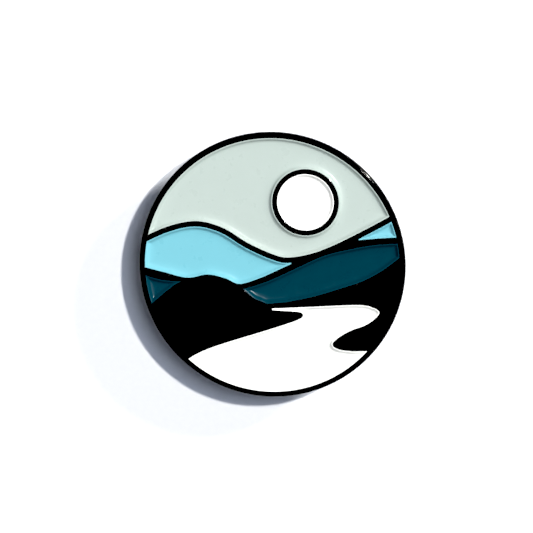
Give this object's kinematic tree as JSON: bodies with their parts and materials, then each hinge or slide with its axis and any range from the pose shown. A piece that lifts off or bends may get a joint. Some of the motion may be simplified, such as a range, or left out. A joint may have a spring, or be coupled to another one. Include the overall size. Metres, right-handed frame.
{
  "type": "enamel pin",
  "caption": "Round soft-enamel lapel pin with a raised-line hill, river and sun scene, posts on the back and butterfly clutches that slide off when their wings are squeezed.",
  "frame": {"origin": "middle of the bounding box's bottom, on the plane that the humps of the two clutches stand on, under the centre of the round plate", "axes": "+Z out of the enamelled front, +Y towards the top of the scene, +X to the scene's right; the two posts lie on the X axis"},
  "size_m": [0.032, 0.032, 0.009],
  "materials": {
    "black_plate": "smooth black nickel plating, semi-gloss",
    "enamel_pale_green": "glossy soft enamel",
    "enamel_white": "glossy soft enamel",
    "enamel_light_blue": "glossy soft enamel",
    "enamel_teal": "glossy soft enamel",
    "nickel": "bright nickel plating",
    "solder": "dull soldered joint",
    "spring_steel": "satin spring steel"
  },
  "bodies": {
    "pin": {"pin_plate": "black_plate", "enamel_sky": "enamel_pale_green", "enamel_sun": "enamel_white", "enamel_far_hill_left": "enamel_light_blue", "enamel_far_hill_right": "enamel_light_blue", "enamel_near_hill_left": "enamel_teal", "enamel_near_hill_right": "enamel_teal", "enamel_river": "enamel_white", "post_left": "nickel", "post_right": "nickel", "solder_left": "solder", "solder_right": "solder"},
    "clutch_left": {"clutch_cup_left": "nickel", "clutch_keeper_left": "nickel", "grip_spring_left": "spring_steel"},
    "wing_left_upper": {"wing_left_upper": "nickel"},
    "wing_left_lower": {"wing_left_lower": "nickel"},
    "clutch_right": {"clutch_cup_right": "nickel", "clutch_keeper_right": "nickel", "grip_spring_right": "spring_steel"},
    "wing_right_upper": {"wing_right_upper": "nickel"},
    "wing_right_lower": {"wing_right_lower": "nickel"}
  },
  "joints": [
    {"name": "clutch_left_slide", "type": "slide", "parent": "pin", "child": "clutch_left", "axis": [0, 0, -1], "range_m": [0, 0.0105]},
    {"name": "wing_left_upper_squeeze", "type": "hinge", "parent": "clutch_left", "child": "wing_left_upper", "pos_m": [-0.008, 0.0023, 0.00385], "axis": [-1, 0, 0], "range_deg": [0, 12], "stiffness_Nm_per_rad": 0.01, "deforming": ["grip_spring_left"]},
    {"name": "wing_left_lower_squeeze", "type": "hinge", "parent": "clutch_left", "child": "wing_left_lower", "pos_m": [-0.008, -0.0023, 0.00385], "axis": [1, 0, 0], "range_deg": [0, 12], "stiffness_Nm_per_rad": 0.01, "deforming": ["grip_spring_left"]},
    {"name": "clutch_right_slide", "type": "slide", "parent": "pin", "child": "clutch_right", "axis": [0, 0, -1], "range_m": [0, 0.0105]},
    {"name": "wing_right_upper_squeeze", "type": "hinge", "parent": "clutch_right", "child": "wing_right_upper", "pos_m": [0.008, 0.0023, 0.00385], "axis": [-1, 0, 0], "range_deg": [0, 12], "stiffness_Nm_per_rad": 0.01, "deforming": ["grip_spring_right"]},
    {"name": "wing_right_lower_squeeze", "type": "hinge", "parent": "clutch_right", "child": "wing_right_lower", "pos_m": [0.008, -0.0023, 0.00385], "axis": [1, 0, 0], "range_deg": [0, 12], "stiffness_Nm_per_rad": 0.01, "deforming": ["grip_spring_right"]}
  ],
  "couplings": [
    {"joint": "wing_left_lower_squeeze", "follows": "wing_left_upper_squeeze", "ratio": 1},
    {"joint": "wing_right_lower_squeeze", "follows": "wing_right_upper_squeeze", "ratio": 1}
  ]
}
